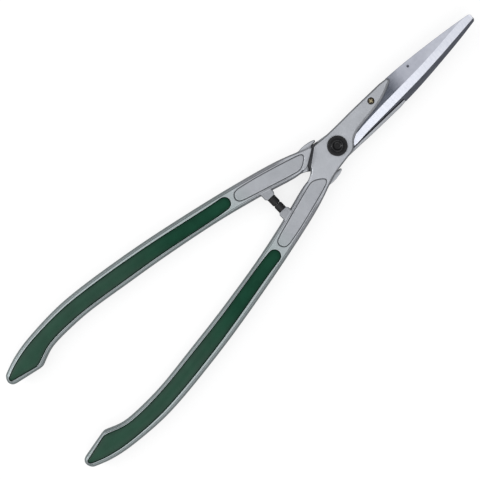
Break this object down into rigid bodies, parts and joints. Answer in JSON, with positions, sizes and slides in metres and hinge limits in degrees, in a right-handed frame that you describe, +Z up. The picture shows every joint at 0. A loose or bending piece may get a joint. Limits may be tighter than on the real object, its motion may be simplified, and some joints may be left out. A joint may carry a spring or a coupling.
{
  "type": "hedge shears",
  "caption": "Long-handled hand hedge shears: cast aluminium levers crossed at a bolt, inlaid grips, rubber bumpers, and straight steel blades that open on a hinge.",
  "frame": {"origin": "on the pivot axis, in the plane where the inner faces of the blades meet", "axes": "+Y along the tool to the blade tips, +Z up through the front face that carries the bolt head, +X across to the front lever's handle"},
  "size_m": [0.1682, 0.641, 0.0298],
  "materials": {
    "casting": "satin die-cast aluminium, clear lacquered",
    "blade_steel": "ground steel, flat side polished, bevel cross ground",
    "screw": "dark plated screw",
    "bush": "plain turned bronze",
    "pivot_black": "black oxide with a light oil",
    "spring_steel": "plain spring steel",
    "nylon": "natural nylon",
    "grip": "satin dark green moulded inlay",
    "bumper_rubber": "matt black rubber",
    "stud_steel": "zinc plated stud"
  },
  "bodies": {
    "rear_half": {"rear_lever": "casting", "rear_blade": "blade_steel", "rear_blade_screw": "screw", "rear_pivot_bush": "bush", "pivot_bolt": "pivot_black", "pivot_front_washer": "pivot_black", "pivot_back_washer": "pivot_black", "pivot_spring_washer": "spring_steel", "pivot_nut": "pivot_black", "pivot_nut_ring": "nylon", "rear_grip_top": "grip", "rear_grip_bottom": "grip", "rear_bumper": "bumper_rubber", "rear_bumper_stud": "stud_steel"},
    "front_half": {"front_lever": "casting", "front_blade": "blade_steel", "front_blade_screw": "screw", "front_pivot_bush": "bush", "front_grip_top": "grip", "front_grip_bottom": "grip", "front_bumper": "bumper_rubber", "front_bumper_stud": "stud_steel"}
  },
  "joints": [
    {"name": "pivot", "type": "hinge", "parent": "rear_half", "child": "front_half", "pos_m": [0, 0, 0], "axis": [0, 0, 1], "range_deg": [0, 75]}
  ]
}
